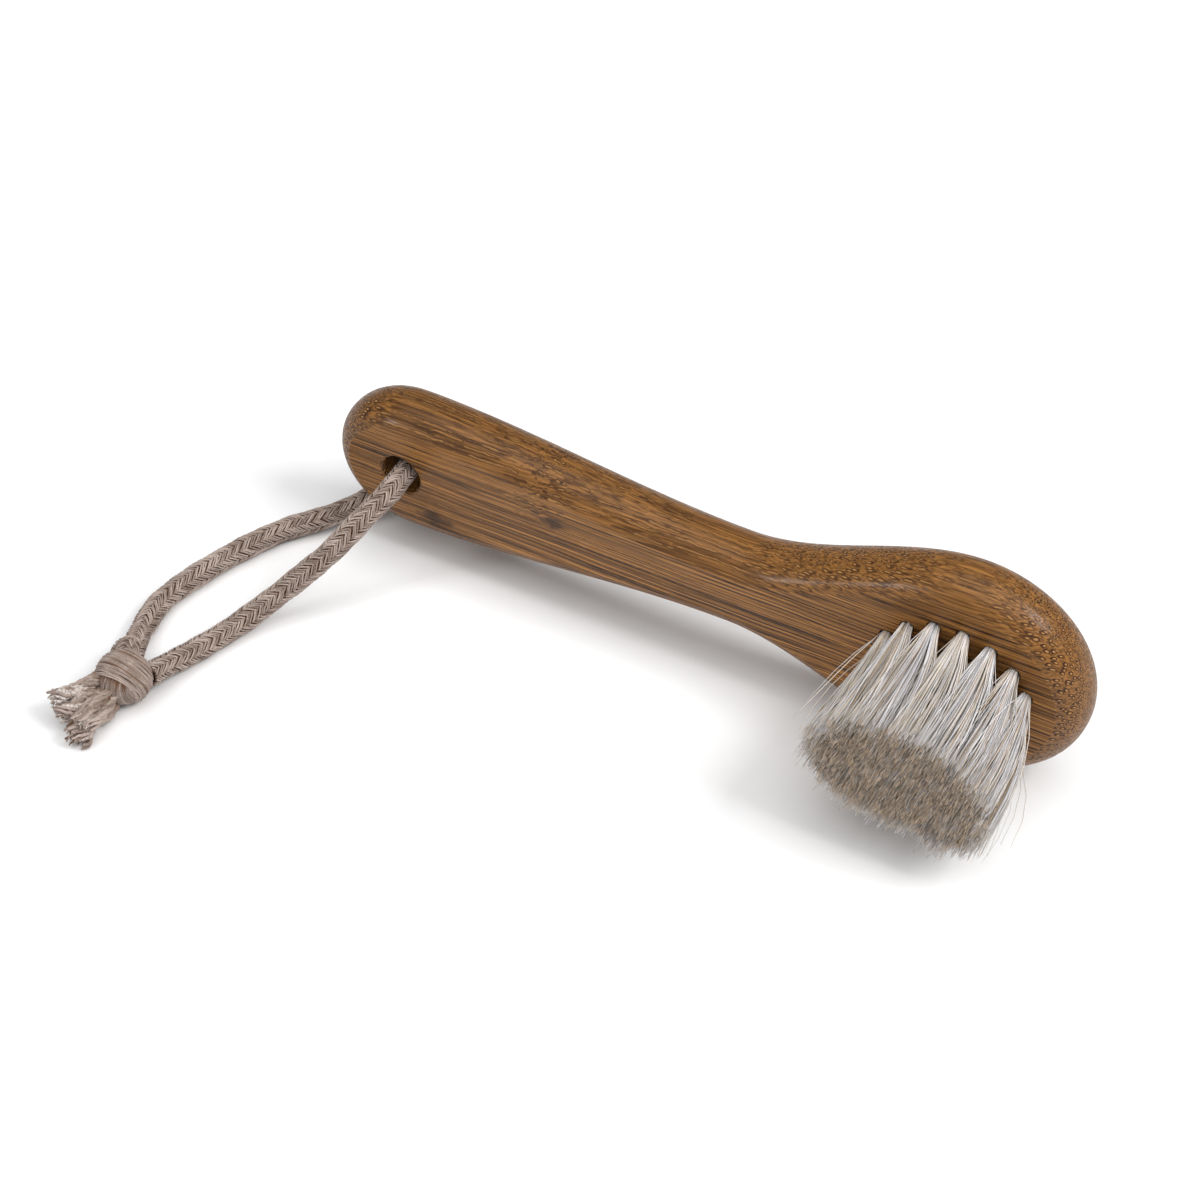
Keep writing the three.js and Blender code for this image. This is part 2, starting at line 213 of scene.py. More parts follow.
half = TABLE_SIZE / 2
table_white, table_surface, shade = new_material("table_white", Roughness=0.9)
mottle = shade.node("TexNoise", {}, {"Scale": 3.0, "Detail": 2.0})
feed(table_surface, "Base Color", mottle.between(TABLE_WHITE, TABLE_MOTTLE))
table_corners = np.array([(-half, -half, 0), (half, -half, 0), (half, half, 0), (-half, half, 0)])
table = new_mesh("table", table_corners, [np.array([[0, 1, 2, 3]])], table_white, Matrix())

# Bamboo body
# Handle, waist and oval head are one block of carbonised bamboo, milled flat, rounded over along both
# faces and lacquered satin. A hang hole goes through the handle and blind tuft holes into the face.
BODY_LENGTH = 140.0
BODY_THICKNESS = 11.6
EDGE_RADIUS = 5.9  # more than half the thickness, so the round-over leaves a crease along each face
EDGE_FLAT = 0.4  # straight band between the two round-overs
GRIP_AT = 14.8
GRIP_WIDTH = 26.8
WAIST_AT = 77.9
WAIST_WIDTH = 16.6
HEAD_AT = 118.7
HEAD_WIDTH = 39.6
HANG_HOLE_AT = 14.7
HANG_HOLE_DIAMETER = 7.4
HANG_HOLE_ROUND = 0.8
TUFT_FIELD_AT = 118.3
OUTER_RING = (12.8, 10.6)  # half its length and half its width
OUTER_TUFTS = 15
INNER_TUFTS = 9
RING_PITCH = 4.8
CENTRE_PITCH = 4.8
TUFT_HOLE_DIAMETER = 2.4
TUFT_HOLE_DEPTH = 7.5
TUFT_HOLE_POINT = 0.9
TUFT_HOLE_CHAMFER = 0.12
CORD_DIAMETER = 4.2
CORD_CLEARANCE = 0.3
CAP_STEPS = 44
SIDE_STEPS = 70
EDGE_STEPS = 14
RIM_STEPS = 7
OVAL_STEPS = 4000  # for measuring arcs round an oval
HANG_HOLE_SIDES = 64
TUFT_HOLE_SIDES = 24
CREASE_ANGLE = 16.5  # degrees; edges that turn more than this stay sharp
BUNDLE_PITCH = 0.86  # vascular bundles near the bristle face, the inside of the culm wall
FINE_BUNDLE_PITCH = 0.6  # and near the back, its outside
BUNDLE_WIDTH = 0.74
FINE_BUNDLE_WIDTH = 0.52
NODE_AT = 42.0  # the culm's joint, where its fibres bend
NODE_WANDER = 8.0  # how far the joint strays along the body
FIBRE_DRIFT = 0.7  # how far the fibres run off straight
NODE_BEND = 1.3  # how far they bend at the joint
BUNDLE_BEND = 0.6  # how far single bundles bend
STAINS = ((21.2, -7.2, 4.4), (45.2, 2.2, 3.2))  # dark smudges: place along and across, and reach
WOOD_DARK = rgb(60, 36, 17)
WOOD_PALE = rgb(196, 136, 71)
FLECK_BROWN = rgb(62, 36, 15)
# Bundle colours: a dark sheath and a pale vessel. These are real colours, and they also carry painted shade
# and a painted highlight of the dots' relief.
SHEATH_AND_SHADE_BROWN = rgb(54, 28, 8)
VESSEL_AND_HIGHLIGHT_PALE = rgb(178, 130, 76)
STAIN_BROWN = rgb(46, 27, 13)


def ease(share):
    """A rise from 0 to 1 that starts and ends level."""
    return share * share * (3 - 2 * share)


def body_outline():
    """Points round the body from its handle end, anticlockwise as its bristle face shows them."""
    turn = np.linspace(0, math.pi / 2, CAP_STEPS + 1)
    share = np.linspace(0, 1, SIDE_STEPS + 1)[1:]
    grip, waist, widest = GRIP_WIDTH / 2, WAIST_WIDTH / 2, HEAD_WIDTH / 2
    stretches = [
        (GRIP_AT * (1 - np.cos(turn)), grip * np.sin(turn)),
        (GRIP_AT + (WAIST_AT - GRIP_AT) * share, grip + (waist - grip) * ease(share)),
        (WAIST_AT + (HEAD_AT - WAIST_AT) * share, waist + (widest - waist) * ease(share)),
        (HEAD_AT + (BODY_LENGTH - HEAD_AT) * np.sin(turn[1:]), widest * np.cos(turn[1:])),
    ]
    side = np.concatenate([np.stack(stretch, 1) for stretch in stretches])
    side[-1, 1] = 0
    return np.concatenate([side * (1, -1), side[-2:0:-1]])


def circle(middle, radius, sides):
    """Points round a circle, anticlockwise."""
    turn = np.arange(sides) / sides * 2 * math.pi
    return np.stack([middle[0] + radius * np.cos(turn), middle[1] + radius * np.sin(turn)], 1)


def oval_places(semi, count, share):
    """Places with equal arcs between them on an oval, the first a share of an arc from its head end."""
    turn = np.linspace(0, 2 * math.pi, OVAL_STEPS + 1)
    line = np.stack([semi[0] * np.cos(turn), semi[1] * np.sin(turn)], 1)
    run = np.concatenate([[0], np.cumsum(np.linalg.norm(np.diff(line, axis=0), axis=1))])
    at = (np.arange(count) + share) / count * run[-1]
    return np.stack([np.interp(at, run, line[:, 0]), np.interp(at, run, line[:, 1])], 1)


tufts = {
    "outer": oval_places(OUTER_RING, OUTER_TUFTS, 0.5),
    "inner": oval_places((OUTER_RING[0] - RING_PITCH, OUTER_RING[1] - RING_PITCH), INNER_TUFTS, 0),
    "centre": np.array([(CENTRE_PITCH / 2, 0), (-CENTRE_PITCH / 2, 0)]),
}
points, walls, tips, flats = [], [], [], []


def ring(flat, height):
    """Adds a ring of points at one height and gives their numbers."""
    points.extend((x, y, height) for x, y in flat)
    return np.arange(len(points) - len(flat), len(points))


def wall(upper, lower):
    """Joins two rings of points by a band of faces."""
    walls.append(np.stack([upper, lower, np.roll(lower, -1), np.roll(upper, -1)], 1))


def flat_face(loops, upwards):
    """A flat face inside the first ring and outside the others."""
    corners = np.concatenate(loops)
    fill = tessellate_polygon([[Vector((*points[i][:2], 0)) for i in loop] for loop in loops])
    triangles = corners[np.array(fill)]
    a, b, c = (np.array(points)[triangles[:, k], :2] for k in range(3))
    area = (b - a)[:, 0] * (c - a)[:, 1] - (b - a)[:, 1] * (c - a)[:, 0]
    wrong = (area < 0) == upwards
    triangles[wrong] = triangles[wrong][:, ::-1]
    flats.append(triangles)


outline = body_outline()
ahead = np.roll(outline, -1, 0) - np.roll(outline, 1, 0)
inwards = np.stack([-ahead[:, 1], ahead[:, 0]], 1) / np.linalg.norm(ahead, axis=1)[:, None]
above_band = BODY_THICKNESS / 2 - EDGE_FLAT / 2
turn = np.linspace(math.acos(above_band / EDGE_RADIUS), math.pi / 2, EDGE_STEPS + 1)
upper_edge = [(EDGE_RADIUS * (1 - math.sin(t)), EDGE_RADIUS * math.cos(t) - above_band) for t in turn]
lower_edge = [(inset, -BODY_THICKNESS - height) for inset, height in reversed(upper_edge)]
rings = [ring(outline + inwards * inset, height) for inset, height in upper_edge + lower_edge]
for upper, lower in zip(rings, rings[1:]):
    wall(upper, lower)

hang_hole = (HANG_HOLE_AT, 0)
rim_turn = np.linspace(0, math.pi / 2, RIM_STEPS + 1)
upper_rim = [(1 - math.sin(t), math.cos(t) - 1) for t in rim_turn]
lower_rim = [(out, -BODY_THICKNESS / HANG_HOLE_ROUND - height) for out, height in reversed(upper_rim)]
bore = [
    ring(
        circle(hang_hole, HANG_HOLE_DIAMETER / 2 + HANG_HOLE_ROUND * out, HANG_HOLE_SIDES),
        HANG_HOLE_ROUND * height,
    )
    for out, height in upper_rim + lower_rim
]
for upper, lower in zip(bore, bore[1:]):
    wall(lower, upper)

mouths = []
for place in np.concatenate(list(tufts.values())) + (TUFT_FIELD_AT, 0):
    radius = TUFT_HOLE_DIAMETER / 2
    mouths.append(ring(circle(place, radius + TUFT_HOLE_CHAMFER, TUFT_HOLE_SIDES), 0.0))
    shoulder = ring(circle(place, radius, TUFT_HOLE_SIDES), -TUFT_HOLE_CHAMFER)
    bottom = ring(circle(place, radius, TUFT_HOLE_SIDES), -TUFT_HOLE_DEPTH)
    wall(shoulder, mouths[-1])
    wall(bottom, shoulder)
    tip = ring([place], -TUFT_HOLE_DEPTH - TUFT_HOLE_POINT)
    tips.append(np.stack([bottom, np.roll(bottom, -1), np.full(TUFT_HOLE_SIDES, tip[0])], 1))
flat_face([rings[0], bore[0], *mouths], True)
flat_face([rings[-1], bore[-1]], False)

lift = HEAD_WIDTH / 2 - GRIP_WIDTH / 2 - CORD_DIAMETER - CORD_CLEARANCE
tilt = math.asin(lift / (HEAD_AT - GRIP_AT))
lying = Matrix.Rotation(-tilt, 4, "Y") @ Matrix.Rotation(math.pi / 2, 4, "X")
lain = np.array(points) * MM @ np.array(lying.to_3x3()).T
body_low, body_high = (np.array(corner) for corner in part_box("bamboo_body"))
shift = (body_low + body_high) / 2 - (lain.min(0) + lain.max(0)) / 2
brush_place = Matrix.Translation(shift) @ lying

lacquer = dict(Specular_IOR_Level=0.2, Coat_Weight=0.1, Coat_Roughness=0.16)
bamboo, bamboo_surface, shade = new_material("bamboo", **lacquer)
place = shade.node("TexCoord", {}, {}, "Object")
as_cut = {"Location": shift, "Rotation": lying.to_euler(), "Scale": (MM, MM, MM)}
place = shade.node("Mapping", {"vector_type": "TEXTURE"}, {"Vector": place, **as_cut})
along, across, depth = place.split()


def grain(along_scale, across_scale, seed):
    """Three noises that are drawn out along the fibres."""
    vector = {"X": along * along_scale + seed, "Y": fibre_y * across_scale, "Z": fibre_z * across_scale}
    vector = shade.node("CombineXYZ", {}, vector)
    noise = {"Vector": vector, "Scale": 1.0, "Detail": 1.0}
    return shade.node("TexNoise", {}, noise, "Color").split()


def bundles(pitch, aside):
    """Distance in millimetres from the middle of the nearest vascular bundle, and a chance for each."""
    vector = shade.node("CombineXYZ", {}, {"X": bundle_y + aside, "Y": bundle_z + aside})
    cells = {"Vector": vector, "Scale": 1 / pitch, "Randomness": 0.7}
    cells = shade.node("TexVoronoi", {"voronoi_dimensions": "2D"}, cells, "Distance")
    return cells * pitch, cells.output("Color").split()[0]


fibre_y, fibre_z = across, depth
drift_y, drift_z, wall_drift = grain(0.05, 0.12, 0.0)
bend_y, bend_z, node_drift = grain(0.5, 0.7, 9.0)
to_node = shade.math("ABSOLUTE", along - NODE_AT + NODE_WANDER * (node_drift - 0.5))
near_node = (1 - to_node.step(1.0, 7.0)) * across.step(0.0, 5.0)
fibre_y = across + (drift_y - 0.5) * FIBRE_DRIFT + (bend_y - 0.5) * near_node * NODE_BEND
fibre_z = depth + (drift_z - 0.5) * FIBRE_DRIFT + (bend_z - 0.5) * near_node * NODE_BEND
bundle_y = fibre_y + (bend_y - 0.5) * BUNDLE_BEND
bundle_z = fibre_z + (bend_z - 0.5) * BUNDLE_BEND

inner_wall = (depth + 4.0 * (wall_drift - 0.5)).step(-5.5, -2.0)
sheaths_and_shades, vessels_and_highlights = [], []
for pitch, wide in ((BUNDLE_PITCH, BUNDLE_WIDTH), (FINE_BUNDLE_PITCH, FINE_BUNDLE_WIDTH)):
    to_sheath, chance = bundles(pitch, 0.0)
    # The pale vessel is set off the middle of its dark sheath, so each dot shows a thick dark crescent on
    # one side and pale on the other. This is painted shade and a painted highlight of the relief.
    to_vessel, _ = bundles(pitch, 0.07 * wide)
    there = chance.step(0.03, 0.1)
    sheaths_and_shades.append(there * (1 - to_sheath.step(0.36 * wide, 0.46 * wide)))
    vessels_and_highlights.append(there * (1 - to_vessel.step(0.12 * wide, 0.26 * wide)))
sheath_and_shade = inner_wall * sheaths_and_shades[0] + (1 - inner_wall) * sheaths_and_shades[1]
vessel_and_highlight = inner_wall * vessels_and_highlights[0] + (1 - inner_wall) * vessels_and_highlights[1]

on_face = depth.step(-0.06, -0.015)
lines, flecks, _ = grain(0.01, 2.3, 20.0)
hairlines, _, _ = grain(0.03, 3.6, 30.0)
lines, hairlines = lines.step(0.42, 0.58), hairlines.step(0.44, 0.56)
cloud = shade.node("TexNoise", {}, {"Vector": place, "Scale": 0.07, "Detail": 2.0}).step(0.3, 0.7)
tone = lines * 0.5 + hairlines * 0.42 + cloud * 0.08
towards_head = along.step(40.0, 95.0)
plain = 0.33 + (tone - 0.5) * (0.4 + (0.3 + 0.24 * towards_head) * on_face)
# Painted shade and light: the rounded sides are painted darker towards the handle end, and the face lighter
# towards the head, where the hair shades it.
plain = plain - 0.07 * (1 - towards_head) * (1 - on_face) + 0.05 * towards_head * on_face
wood = plain.between(WOOD_DARK, WOOD_PALE)
wood = (flecks.step(0.6, 0.66) * (0.16 + 0.2 * on_face)).between(wood, FLECK_BROWN)
facing = shade.node("TexCoord", {}, {}, "Normal").split()[0]
cut_across = shade.math("ABSOLUTE", facing).step(0.05, 0.5)
showing = 0.46 + 0.46 * cut_across + 0.25 * near_node - 0.3 * on_face
# Sheaths and vessels in the wood's colour are real bundle colours. The offset vessel adds painted shade and
# a painted highlight on opposite sides of each dot.
wood = (sheath_and_shade * showing).between(wood, SHEATH_AND_SHADE_BROWN)
wood = (vessel_and_highlight * showing).between(wood, VESSEL_AND_HIGHLIGHT_PALE)
for stain_along, stain_across, reach in STAINS:
    aside = shade.math("ABSOLUTE", across - stain_across) * 1.6
    away = shade.math("ABSOLUTE", along - stain_along) * 0.7 + aside + (node_drift - 0.5) * 3.0
    wood = ((1 - away.step(0.2 * reach, reach)) * on_face * 0.85).between(wood, STAIN_BROWN)
feed(bamboo_surface, "Base Color", wood)
feed(bamboo_surface, "Roughness", 0.3 + hairlines * 0.1 + sheath_and_shade * 0.15)
relief = lines * 0.2 + hairlines * 0.15 - sheath_and_shade * 1.0 + vessel_and_highlight * 0.8
bump = shade.node("Bump", {}, {"Height": relief, "Strength": 0.8, "Distance": 0.00012}, "Normal")
feed(bamboo_surface, "Normal", bump)

body_faces = [np.concatenate(walls), np.concatenate(tips), np.concatenate(flats)]
body = new_mesh("bamboo_block", np.array(points) * MM, body_faces, bamboo, brush_place)
rounded = np.ones(len(body.data.polygons), bool)
rounded[-len(body_faces[-1]):] = False
body.data.polygons.foreach_set("use_smooth", rounded)
body.data.set_sharp_from_angle(angle=math.radians(CREASE_ANGLE))
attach(body, "root")
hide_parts("bamboo_body")

# Tuft anchors
# A short strip of flat steel wire holds each tuft: the hair is folded over it and both are driven to
# the bottom of the hole. The strips keep their CAD shape and only get a drawn-wire finish.
WIRE_DARK = rgb(168, 166, 160)
WIRE_PALE = rgb(206, 204, 198)
WIRE_SCRATCHES = (9000.0, 9000.0, 700.0)  # to a metre, across the wire and along it

anchor_wire, anchor_surface, shade = new_material("anchor_wire", Metallic=1.0)
place = shade.node("TexCoord", {}, {}, "Object")
drawn = shade.node("VectorMath", {"operation": "MULTIPLY"}, {0: place, 1: WIRE_SCRATCHES})
scratches = shade.node("TexNoise", {}, {"Vector": drawn, "Scale": 1.0, "Detail": 3.0})
feed(anchor_surface, "Base Color", scratches.between(WIRE_DARK, WIRE_PALE))
feed(anchor_surface, "Roughness", 0.28 + scratches * 0.22)
for name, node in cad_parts.items():
    if name.startswith("tuft_anchor"):
        node.data.materials.clear()
        node.data.materials.append(anchor_wire)

# Hair tufts
# Soft white goat hair with some cream and tan in it, twenty-six folded tufts that fill their holes,
# spread above the face and are trimmed level, so that their tips make one ragged oval.
TRIM_HEIGHT = 24.5
TUFT_FLARE = (1.0, 0.77)  # along the brush and across it
TUFT_LEAN = 1.2  # towards the head's end
TUFT_SPLAY = (4.4, -4.0)  # how far the tufts at the lower corner of the head's end lean out
TUFT_SPREAD = (4.1, 2.8)  # half the width of a tuft's tip round the ring and out from it
TUFT_ROOT_RADIUS = 0.74
TUFT_ROOT_ASIDE = (-0.1, 0.3)  # the weight of the hair draws the roots to one side of their holes
ROOT_DEPTH = 1.2
HAIRS_IN_TUFT = 412
LOCKS_IN_TUFT = 90
HAIR_RADIUS = 0.09
HAIR_STEPS = 5
HAIR_SIDES = 3
LOCK_WIDTH = 0.07  # of a lock's hairs, in a tuft of radius 1
FAN_POWER = 2.5  # the higher, the nearer to the face the hair spreads
TUFT_WANDER = 0.25  # how far a tuft's tip lies off its place
TIP_WANDER = 0.12  # and a hair's tip off its own
LOCK_SHORT = (0.7, 0.5)  # what locks fall short of the trim by, and how unevenly
HAIR_SHORT = 0.4
LOCK_SWAY = 0.45
HAIR_SWAY = 0.3
STRAY_SHARE = 0.04
STRAY_REACH = 2.0
RIM_TIP_UNSHADED = 0.09  # the hair round the rim is left without the painted shade at its tip
HAIR_WHITE = rgb(228, 226, 227)
HAIR_CREAM = rgb(222, 211, 196)
HAIR_TAN = rgb(190, 156, 112)
HAIR_DULL = rgb(118, 108, 103)
# Tip colours run from near black, which is painted shade between the hair ends, to the pale tan and cream
# of the real tips.
TIP_SHADE_DARK = rgb(28, 16, 7)
TIP_PALE = rgb(242, 214, 182)


def carried(lines):
    """Directions across and over along each line, with as little twist as the line allows."""
    ahead = np.gradient(lines, axis=1)
    ahead /= np.linalg.norm(ahead, axis=2, keepdims=True)
    across = np.cross(ahead, np.eye(3)[np.argmin(np.abs(ahead[:, 0]), axis=1)][:, None])
    for i in range(lines.shape[1]):
        side = across[:, max(i - 1, 0)]
        side = side - (side * ahead[:, i]).sum(1, keepdims=True) * ahead[:, i]
        across[:, i] = side / np.linalg.norm(side, axis=1, keepdims=True)
    return across, np.cross(ahead, across)


def thread_mesh(name, bundles, material, place):
    """One piece of closed threads. A bundle is lines, radii, sides, a tint for each thread and a shade
    for each point, in millimetres."""
    points, quads, caps, tints, shades = [], [], [], [], []
    start = 0
    for lines, radii, sides, tint, shade in bundles:
        across, over = carried(lines)
        turn = (np.arange(sides) / sides * 2 * math.pi)[:, None]
        out = np.cos(turn) * across[:, :, None] + np.sin(turn) * over[:, :, None]
        rings = lines[:, :, None] + radii[:, :, None, None] * out
        index = np.arange(rings[..., 0].size).reshape(rings.shape[:3]) + start
        start += index.size
        after = np.roll(index, -1, 2)
        corners = [index[:, :-1], after[:, :-1], after[:, 1:], index[:, 1:]]
        quads.append(np.stack(corners, -1).reshape(-1, 4))
        caps += [index[:, 0, ::-1], index[:, -1]]
        points.append(rings.reshape(-1, 3))
        tints.append(np.broadcast_to(tint[:, None, None], index.shape).ravel())
        shades.append(np.broadcast_to(shade[:, :, None], index.shape).ravel())
    piece = new_mesh(name, np.concatenate(points) * MM, [np.concatenate(quads), *caps], material, place)
    for label, values in (("tint", tints), ("shade", shades)):
        layer = piece.data.attributes.new(label, "FLOAT", "POINT")
        layer.data.foreach_set("value", np.concatenate(values).astype(np.float32))
    return piece


def disc(rng, count, power=0.5):
    """Random places in a circle of radius 1."""
    turn = rng.uniform(0, 2 * math.pi, count)
    return rng.uniform(0, 1, (count, 1)) ** power * np.stack([np.cos(turn), np.sin(turn)], 1)


def hair_bundle(rng, middle):
    """The hairs of one tuft in small locks, from inside its hole to the trimmed tips."""
    count = HAIRS_IN_TUFT
    lock = rng.integers(0, LOCKS_IN_TUFT, count)
    at = disc(rng, LOCKS_IN_TUFT)[lock] + rng.normal(0, LOCK_WIDTH, (count, 2))
    stray = rng.uniform(0, 1, (count, 1)) < STRAY_SHARE
    out = middle / np.linalg.norm(middle)
    ways = np.stack([(-out[1], out[0]), out])
    root = middle + TUFT_ROOT_ASIDE + at @ ways * TUFT_ROOT_RADIUS
    corner = np.prod(np.clip(middle / OUTER_RING * (1, -1), 0, 1))
    tip = middle * TUFT_FLARE + (TUFT_LEAN, 0) + corner * np.array(TUFT_SPLAY)
    tip = tip + rng.normal(0, TUFT_WANDER, 2)
    tip = tip + (at * TUFT_SPREAD) @ ways + rng.normal(0, TIP_WANDER, (count, 2))
    tip = tip + rng.normal(0, 1, (count, 2)) * np.where(stray, STRAY_REACH, 0.0)
    cut = TRIM_HEIGHT - np.abs(rng.normal(*LOCK_SHORT, LOCKS_IN_TUFT))[lock]
    cut = cut - rng.exponential(HAIR_SHORT, count)
    share = np.linspace(0, 1, HAIR_STEPS + 1) ** 1.25
    height = -ROOT_DEPTH + (cut[:, None] + ROOT_DEPTH) * share
    fanned = 1 - (1 - np.clip(height / TRIM_HEIGHT, 0, 1)) ** FAN_POWER
    flat = root[:, None] + (tip - root)[:, None] * fanned[:, :, None]
    sway = np.sin(share * rng.uniform(2, 5, (count, 1)) + rng.uniform(0, 6.3, LOCKS_IN_TUFT)[lock, None])
    lean = rng.normal(0, LOCK_SWAY, (LOCKS_IN_TUFT, 2))[lock] + rng.normal(0, HAIR_SWAY, (count, 2))
    flat = flat + lean[:, None] * (sway * share)[:, :, None]
    lines = np.concatenate([flat, height[:, :, None]], 2)
    radii = HAIR_RADIUS * rng.uniform(0.7, 1.15, (count, 1))
    radii = radii * np.interp(share, [0, 0.8, 1], [1, 0.95, 0.55])
    tint = 0.78 * rng.uniform(0, 1, LOCKS_IN_TUFT)[lock] + 0.22 * rng.uniform(0, 1, count)
    outermost = np.linalg.norm(middle / OUTER_RING) > 0.9
    # How far up its hair a point is. This sets where the painted shade at the tips begins; the outermost
    # hairs of the rim get less of it.
    to_tip = np.clip(height / cut[:, None], 0, 1) - RIM_TIP_UNSHADED * outermost * np.clip(at[:, 1:], 0, 1)
    return lines, radii, HAIR_SIDES, tint, to_tip


hair, hair_surface, shade = new_material("goat_hair", Specular_IOR_Level=0.35)
tint = shade.node("Attribute", {"attribute_name": "tint"}, {}, "Fac")
up_the_hair = shade.node("Attribute", {"attribute_name": "shade"}, {}, "Fac")
place = shade.node("TexCoord", {}, {}, "Object")
patches = shade.node("TexNoise", {}, {"Vector": place, "Scale": 320.0, "Detail": 2.0})
fleck = shade.node("TexNoise", {}, {"Vector": place, "Scale": 1500.0, "Detail": 2.0})
cream = (tint + (patches - 0.5) * 0.5).step(0.45, 0.8)
tan = shade.math("FRACT", tint * 9.0).step(0.86, 0.9)
hair_colour = cream.between(HAIR_WHITE, HAIR_CREAM)
hair_colour = (tan * 0.65).between(hair_colour, HAIR_TAN)
dull = shade.math("FRACT", tint * 17.0).step(0.55, 1.0)
hair_colour = (dull * 0.36).between(hair_colour, HAIR_DULL)
# Painted shade at the tips: the last part of each hair darkens, standing for the shade between the hair
# ends, mixed with their real tan and brown.
tip_colour_and_shade = shade.math("FRACT", tint * 5.3).between(TIP_SHADE_DARK, TIP_PALE)
near_tip = up_the_hair - 0.05 * shade.math("FRACT", tint * 31.0)
hair_colour = (near_tip.step(0.9, 0.975) * 0.9).between(hair_colour, tip_colour_and_shade)
feed(hair_surface, "Base Color", hair_colour)
feed(hair_surface, "Roughness", 0.4 + fleck * 0.25)

hair_rng = np.random.default_rng(24)
field = brush_place @ Matrix.Translation((TUFT_FIELD_AT * MM, 0, 0))
tuft_nodes = {"outer": "outer_tuft_ring", "inner": "inner_tuft_ring", "centre": "centre_tufts"}
for ring_name, node in tuft_nodes.items():
    hairs = [hair_bundle(hair_rng, middle) for middle in tufts[ring_name]]
    tuft_hair = thread_mesh(ring_name + "_hair", hairs, hair, field)
    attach(tuft_hair, "root")
    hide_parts(node)

# Hanging cord
# A limp braid of natural cotton, sixteen carriers of three yarns that pass over two and under two, so
# that its face shows columns of slanting yarns. It goes through the hang hole and both ends are knotted.
FRONT_ROUTE = [
    (0, -0.15, 17.9), (0.1, -3, 17.9), (0.3, -6.5, 17.8), (0.2, -11, 17.2), (-0.8, -15.2, 15.9),
    (-2.2, -19, 13.8), (-4, -22.6, 11.3), (-6.2, -25.7, 8.9), (-8.6, -28.9, 6.4), (-11.1, -32.8, 4.1),
    (-13.2, -37.3, 2.6), (-15, -42.6, 2.2), (-16.4, -47.6, 2.5), (-17.3, -51.6, 3.3), (-18, -56.2, 4.3),
]
BACK_ROUTE = [
    (0, 0.15, 17.9), (0, 4, 17.9), (0, 7.6, 17.9), (-0.6, 11.5, 17), (-2.2, 14.4, 14.6),
    (-4.4, 15.5, 11.3), (-6.5, 14.4, 8), (-8.1, 11.5, 5.7), (-8.8, 7.6, 4.8), (-9.3, 3.2, 4.6),
    (-10.6, -0.8, 4.1), (-13.4, -4.9, 3.2), (-17, -9.3, 2.5), (-20.6, -13.8, 2.2), (-24.6, -23, 2.2),
    (-27.2, -31.8, 2.2), (-28.4, -39.6, 2.2), (-27.3, -45.6, 2.4), (-25.4, -50.4, 3.2),
    (-22.7, -55.6, 4.3),
]
ROUTE_STEPS = 24  # between two points of a route
BRAID_ANGLE = 36.0  # degrees between the yarns and the cord
BRAID_COLUMNS = 4  # of yarns that slant one way, and as many that slant the other
YARNS_EACH_WAY = 24
YARNS_ON_CARRIER = 3
CARRIER_SPREAD = 0.94  # of its yarns, which lie close together
YARN_RADIUS = 0.165
YARN_RISE = 0.2
YARN_STEP = 0.36
YARN_SIDES = 5
CORE_RADIUS = 1.5
CORE_SIDES = 12
CORE_EVERY = 4  # the core has a ring at every fourth step of its yarns
YARN_DARK = rgb(104, 84, 71)
YARN_PALE = rgb(196, 179, 169)
YARN_SHADOW = rgb(98, 60, 28)
YARN_FLUFF = rgb(232, 226, 220)


def cord_line(route, spacing):
    """Evenly spaced points on the smooth curve through a route."""
    stops = np.array(route, float)
    stops = np.concatenate([[2 * stops[0] - stops[1]], stops, [2 * stops[-1] - stops[-2]]])
    line = []
    for a, b, c, d in zip(stops, stops[1:], stops[2:], stops[3:]):
        t = np.cumsum([0] + [np.linalg.norm(q - p) ** 0.5 for p, q in ((a, b), (b, c), (c, d))])
        at = np.linspace(t[1], t[2], ROUTE_STEPS, endpoint=False)[:, None]
        first = (a * (t[1] - at) + b * (at - t[0])) / (t[1] - t[0])
        second = (b * (t[2] - at) + c * (at - t[1])) / (t[2] - t[1])
        third = (c * (t[3] - at) + d * (at - t[2])) / (t[3] - t[2])
        early = (first * (t[2] - at) + second * (at - t[0])) / (t[2] - t[0])
        late = (second * (t[3] - at) + third * (at - t[1])) / (t[3] - t[1])
        line.append((early * (t[2] - at) + late * (at - t[1])) / (t[2] - t[1]))
    line = np.concatenate([*line, stops[-2:-1]])
    run = np.concatenate([[0], np.cumsum(np.linalg.norm(np.diff(line, axis=0), axis=1))])
    at = np.linspace(0, run[-1], round(run[-1] / spacing) + 1)
    return np.stack([np.interp(at, run, line[:, k]) for k in range(3)], 1), at


